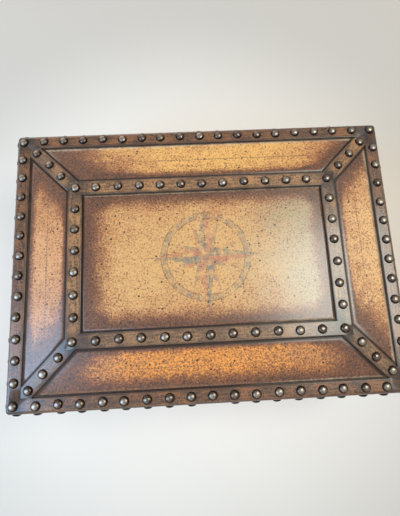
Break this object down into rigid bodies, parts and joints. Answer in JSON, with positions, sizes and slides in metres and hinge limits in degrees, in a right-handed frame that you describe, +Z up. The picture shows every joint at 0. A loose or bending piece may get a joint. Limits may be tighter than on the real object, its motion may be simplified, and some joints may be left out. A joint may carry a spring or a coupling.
{
  "type": "treasure box",
  "caption": "Wooden keepsake box with a low hipped lid hinged at the back, its edges, hips and central panel bound with dark leather straps held by rows of domed nails.",
  "frame": {"origin": "on the ground under the middle of the box", "axes": "+Z up, +X along the box's length to the right, the front faces -Y and the hinges are at +Y"},
  "size_m": [0.4056, 0.2956, 0.1716],
  "materials": {
    "panel_wood": "golden tan panels, darkened at the edges, under clear lacquer",
    "strap_leather": "dark brown leather, worn coppery, lacquered",
    "nail_bronze": "dark antique bronze",
    "hinge_brass": "aged brass",
    "lining_felt": "dark red felt",
    "foot_rubber": "matt black rubber"
  },
  "bodies": {
    "box": {"wall_front": "panel_wood", "wall_right": "panel_wood", "wall_back": "panel_wood", "wall_left": "panel_wood", "bottom_board": "panel_wood", "floor_lining": "lining_felt", "rubber_feet": "foot_rubber", "base_strap_front": "strap_leather", "base_strap_right": "strap_leather", "base_strap_back": "strap_leather", "base_strap_left": "strap_leather", "rim_strap_front": "strap_leather", "rim_strap_right": "strap_leather", "rim_strap_back": "strap_leather", "rim_strap_left": "strap_leather", "corner_strap_front_left": "strap_leather", "corner_strap_front_right": "strap_leather", "corner_strap_back_right": "strap_leather", "corner_strap_back_left": "strap_leather", "base_nails": "nail_bronze", "rim_nails": "nail_bronze", "corner_nails": "nail_bronze", "hinge_leaf_box_left": "hinge_brass", "hinge_leaf_box_right": "hinge_brass", "hinge_pin_left": "hinge_brass", "hinge_pin_right": "hinge_brass", "hinge_screws_box": "hinge_brass"},
    "lid": {"lid_rail_front": "panel_wood", "lid_rail_right": "panel_wood", "lid_rail_back": "panel_wood", "lid_rail_left": "panel_wood", "lid_slope_front": "panel_wood", "lid_slope_right": "panel_wood", "lid_slope_back": "panel_wood", "lid_slope_left": "panel_wood", "lid_centre_panel": "panel_wood", "lid_edge_strap_front": "strap_leather", "lid_edge_strap_right": "strap_leather", "lid_edge_strap_back": "strap_leather", "lid_edge_strap_left": "strap_leather", "inner_strap_front": "strap_leather", "inner_strap_right": "strap_leather", "inner_strap_back": "strap_leather", "inner_strap_left": "strap_leather", "hip_strap_front_left": "strap_leather", "hip_strap_front_right": "strap_leather", "hip_strap_back_right": "strap_leather", "hip_strap_back_left": "strap_leather", "lid_edge_nails": "nail_bronze", "lid_side_nails": "nail_bronze", "hip_nails": "nail_bronze", "inner_strap_nails": "nail_bronze", "hinge_leaf_lid_left": "hinge_brass", "hinge_leaf_lid_right": "hinge_brass", "hinge_screws_lid": "hinge_brass"}
  },
  "joints": [
    {"name": "lid_hinge", "type": "hinge", "parent": "box", "child": "lid", "pos_m": [0, 0.138, 0.13515], "axis": [-1, 0, 0], "range_deg": [0, 97]}
  ]
}
